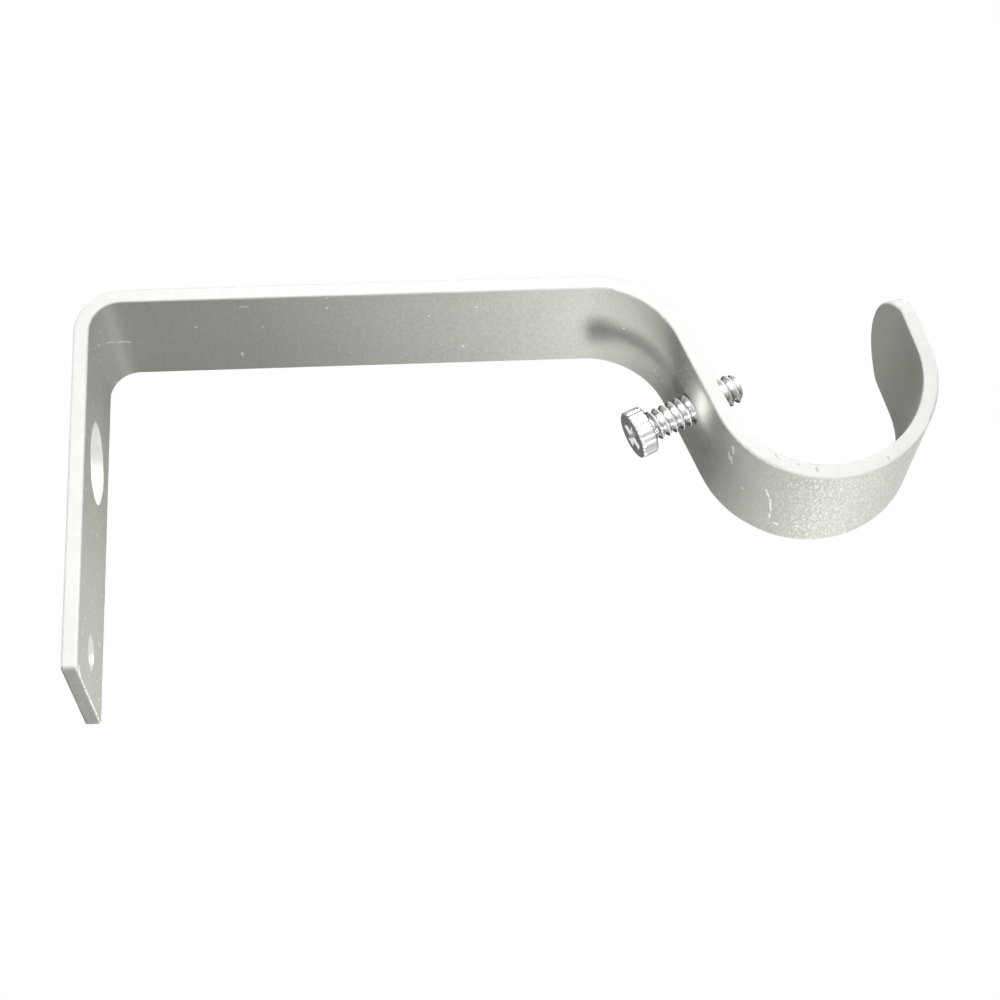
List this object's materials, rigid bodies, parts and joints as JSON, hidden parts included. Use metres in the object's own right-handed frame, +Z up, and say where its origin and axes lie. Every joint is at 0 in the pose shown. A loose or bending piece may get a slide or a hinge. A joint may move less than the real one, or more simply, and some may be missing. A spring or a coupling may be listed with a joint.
{
  "type": "curtain pole bracket",
  "caption": "Bent flat-strip curtain pole bracket: wall leg with fixing holes, straight arm, open round cup for the pole and a knurled clamp screw through the neck.",
  "frame": {"origin": "centre of the upper fixing hole, on the leg's wall side", "axes": "+X out from the wall along the arm, +Z up, Y along the pole"},
  "size_m": [0.1111, 0.02, 0.0526],
  "materials": {
    "silver_coat": "satin silver-grey metallic coat with a fine sparkle, scuffed in places",
    "bright_zinc": "bright zinc plate"
  },
  "bodies": {
    "bracket": {"bracket_strip": "silver_coat"},
    "screw": {"clamp_screw": "bright_zinc"}
  },
  "joints": [
    {"name": "screw_travel", "type": "slide", "parent": "bracket", "child": "screw", "axis": [0.907, 0, 0.421], "range_m": [-0.005, 0.0062]}
  ]
}
